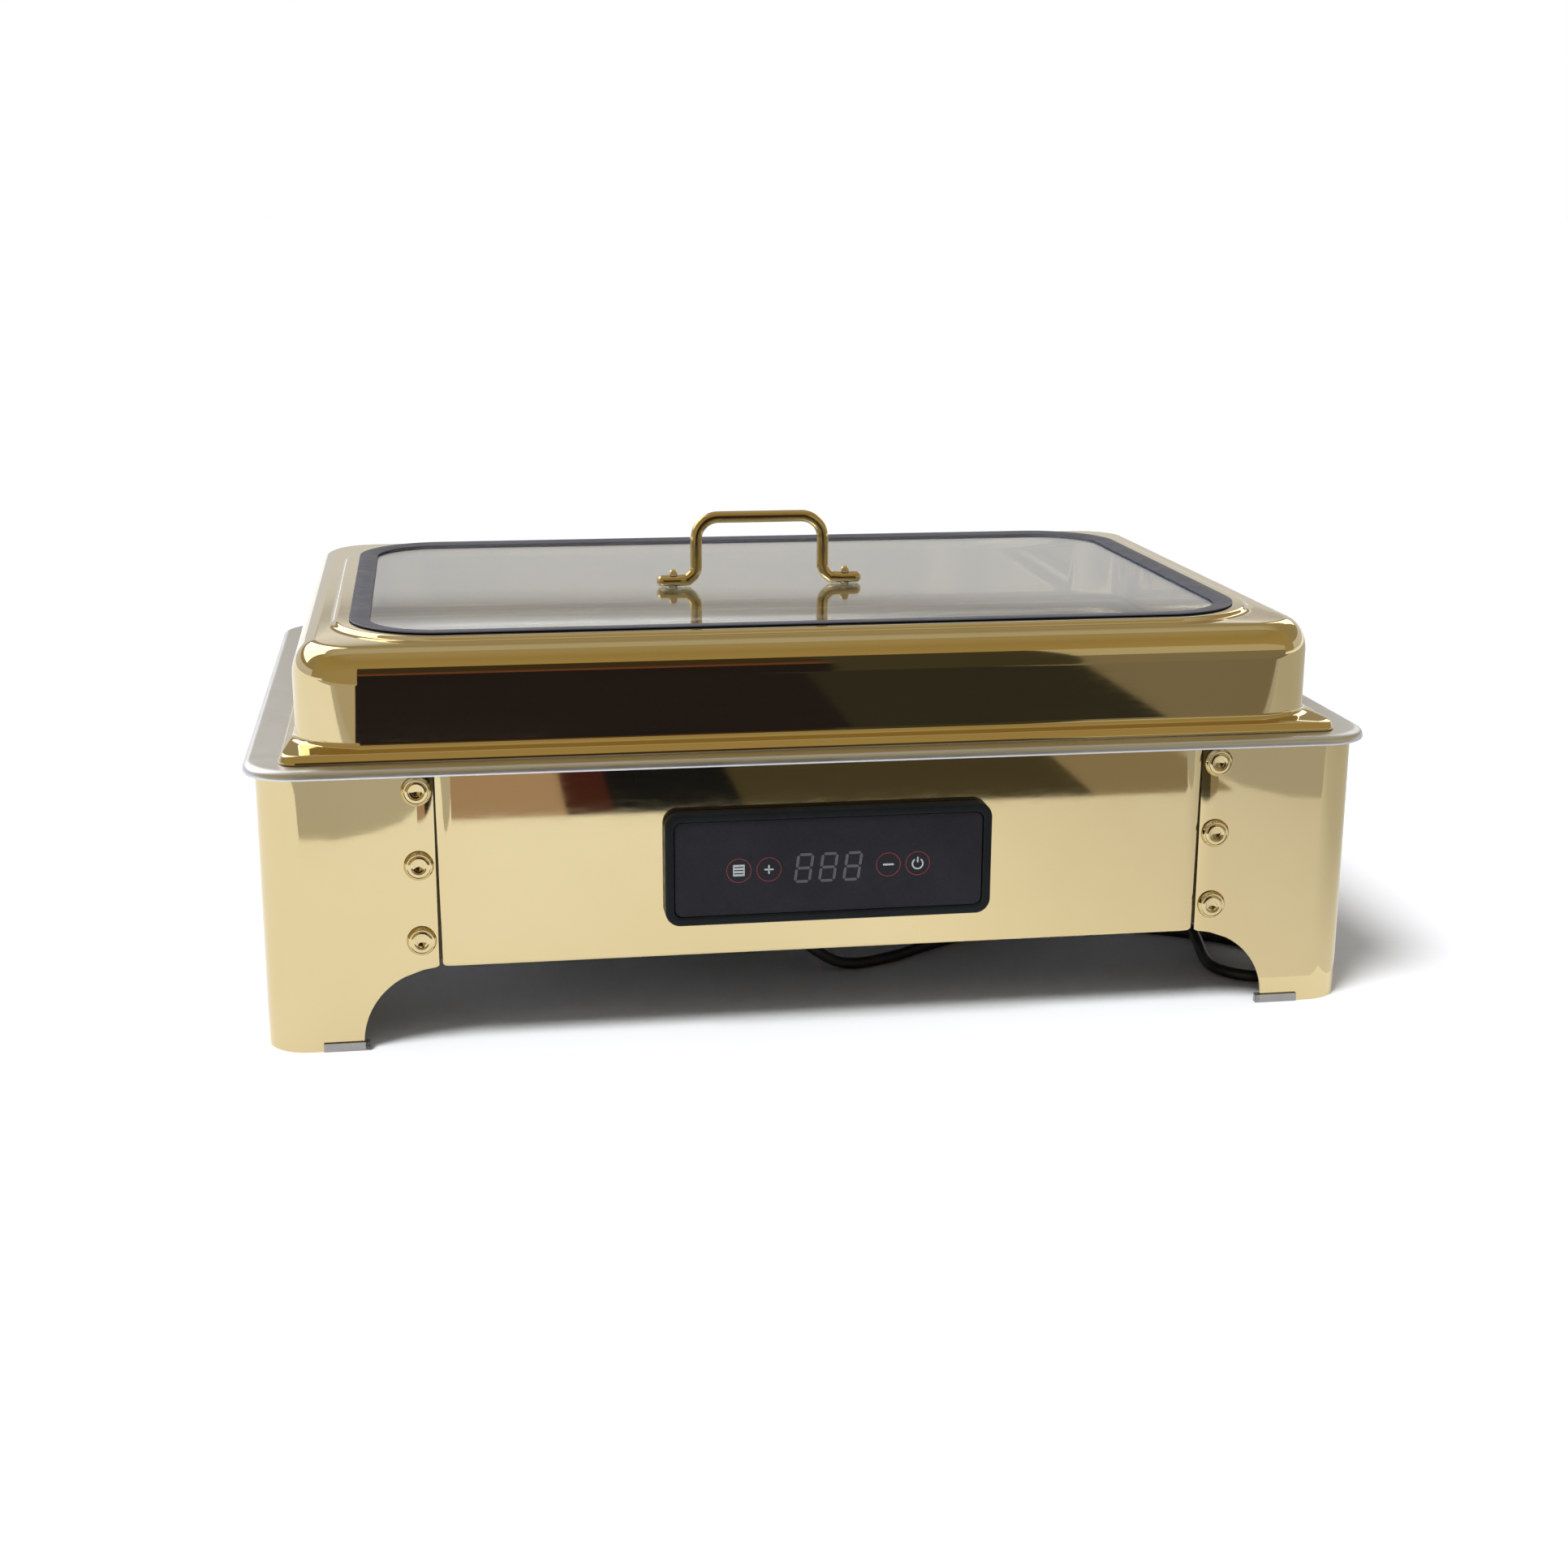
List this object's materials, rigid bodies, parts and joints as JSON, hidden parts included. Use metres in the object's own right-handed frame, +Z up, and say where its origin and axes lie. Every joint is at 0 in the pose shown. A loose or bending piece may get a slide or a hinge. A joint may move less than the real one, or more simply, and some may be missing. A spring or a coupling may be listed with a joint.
{
  "type": "electric chafing dish",
  "caption": "Rectangular electric buffet chafer: gold-finished steel body on four feet, water and food pans, lift-off lid with a glass window.",
  "frame": {"origin": "on the table, under the middle of the body", "axes": "+Z up, +X to the right along the long side, the control unit faces -Y"},
  "size_m": [0.6, 0.412, 0.2546],
  "materials": {
    "gold_steel": "mirror polished, pale gold",
    "bright_steel": "polished stainless",
    "plain_steel": "dull",
    "seal_rubber": "satin, blue grey",
    "clear_glass": "clear, polished",
    "black_plastic": "satin black",
    "black_glass": "gloss black overlay",
    "circuit_board": "green solder mask",
    "cord_rubber": "satin black"
  },
  "bodies": {
    "base": {"leg_front_left": "gold_steel", "leg_front_right": "gold_steel", "leg_back_left": "gold_steel", "leg_back_right": "gold_steel", "front_panel": "gold_steel", "back_panel": "gold_steel", "left_panel": "gold_steel", "right_panel": "gold_steel", "foot_clip_front_left": "bright_steel", "foot_clip_front_right": "bright_steel", "foot_clip_back_left": "bright_steel", "foot_clip_back_right": "bright_steel", "face_screw_front_left_1": "gold_steel", "face_screw_front_left_2": "gold_steel", "face_screw_front_left_3": "gold_steel", "side_screw_front_left_1": "gold_steel", "side_screw_front_left_2": "gold_steel", "side_screw_front_left_3": "gold_steel", "face_screw_front_right_1": "gold_steel", "face_screw_front_right_2": "gold_steel", "face_screw_front_right_3": "gold_steel", "side_screw_front_right_1": "gold_steel", "side_screw_front_right_2": "gold_steel", "side_screw_front_right_3": "gold_steel", "face_screw_back_left_1": "gold_steel", "face_screw_back_left_2": "gold_steel", "face_screw_back_left_3": "gold_steel", "side_screw_back_left_1": "gold_steel", "side_screw_back_left_2": "gold_steel", "side_screw_back_left_3": "gold_steel", "face_screw_back_right_1": "gold_steel", "face_screw_back_right_2": "gold_steel", "face_screw_back_right_3": "gold_steel", "side_screw_back_right_1": "gold_steel", "side_screw_back_right_2": "gold_steel", "side_screw_back_right_3": "gold_steel", "top_frame": "plain_steel", "water_pan": "bright_steel", "heater_plate": "plain_steel", "heating_element": "plain_steel", "thermostat": "bright_steel", "bottom_cover": "plain_steel", "control_bezel": "black_plastic", "control_glass": "black_glass", "control_housing": "black_plastic", "control_board": "circuit_board", "cord_strain_relief": "cord_rubber", "power_cord": "cord_rubber", "cord_coil": "cord_rubber", "plug": "cord_rubber"},
    "pan": {"food_pan": "bright_steel"},
    "lid": {"lid_shell": "gold_steel", "window_seal": "seal_rubber", "window_glass": "clear_glass", "handle_rod": "gold_steel", "handle_nut_left": "gold_steel", "handle_nut_right": "gold_steel", "handle_screw_left": "bright_steel", "handle_screw_right": "bright_steel"}
  },
  "joints": [
    {"name": "pan_lift", "type": "slide", "parent": "base", "child": "pan", "axis": [0, 0, 1], "range_m": [0, 0.11]},
    {"name": "lid_lift", "type": "slide", "parent": "pan", "child": "lid", "axis": [0, 0, 1], "range_m": [0, 0.15]}
  ]
}
